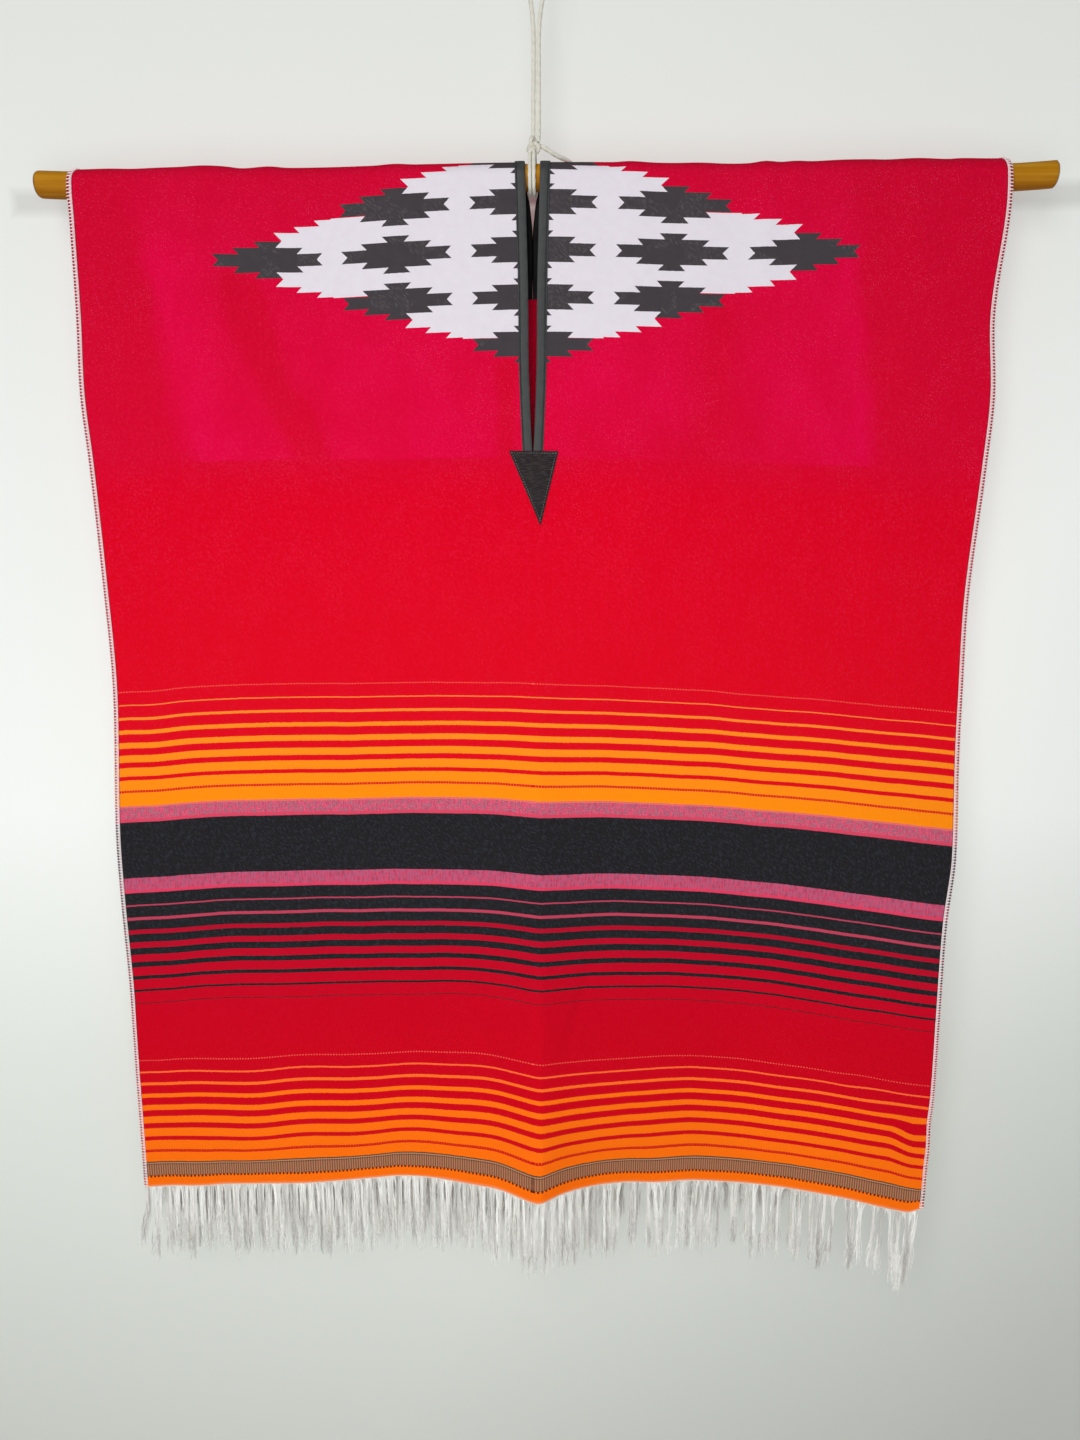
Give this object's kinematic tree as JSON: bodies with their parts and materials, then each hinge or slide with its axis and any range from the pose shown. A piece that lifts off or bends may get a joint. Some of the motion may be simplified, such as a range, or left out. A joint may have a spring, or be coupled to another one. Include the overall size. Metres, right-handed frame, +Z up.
{
  "type": "poncho on a hanging rod",
  "caption": "Fringed twill poncho with a bound neck slit and stripe bands, draped flat over a round stick that hangs from a knotted cord.",
  "frame": {"origin": "on the rod's axis, in the neck slit, where the hanging cord holds it", "axes": "+Z up, +X to the viewer's right along the rod, -Y towards the viewer, out of the poncho's front"},
  "size_m": [1.0996, 0.1104, 1.5198],
  "materials": {
    "front_twill": "red cotton twill with orange, mauve, black, pink and taupe stripe bands and a stepped diamond print",
    "back_twill": "the same red twill and stripe bands, without the print",
    "left_binding": "black imitation leather, slightly glossy",
    "right_binding": "black imitation leather, slightly glossy",
    "patch": "black imitation leather with fine cross wrinkles",
    "front_warp_ends": "off-white loose cotton threads",
    "back_warp_ends": "off-white loose cotton threads",
    "bare_wood": "ochre-brown bare stick, satin",
    "left_turn": "off-white twisted cotton cord",
    "right_turn": "off-white twisted cotton cord",
    "knot": "off-white twisted cotton cord, tied",
    "loop": "off-white twisted cotton cord",
    "tail": "off-white twisted cotton cord, cut end"
  },
  "bodies": {
    "root": {"front_panel": "front_twill", "back_panel": "back_twill", "neck_binding_left": "left_binding", "neck_binding_right": "right_binding", "front_arrowhead": "patch", "front_fringe": "front_warp_ends", "back_fringe": "back_warp_ends", "hanging_rod": "bare_wood", "cord_turn_left": "left_turn", "cord_turn_right": "right_turn", "cord_knot": "knot", "cord_loop": "loop", "cord_tail": "tail"}
  },
  "joints": []
}
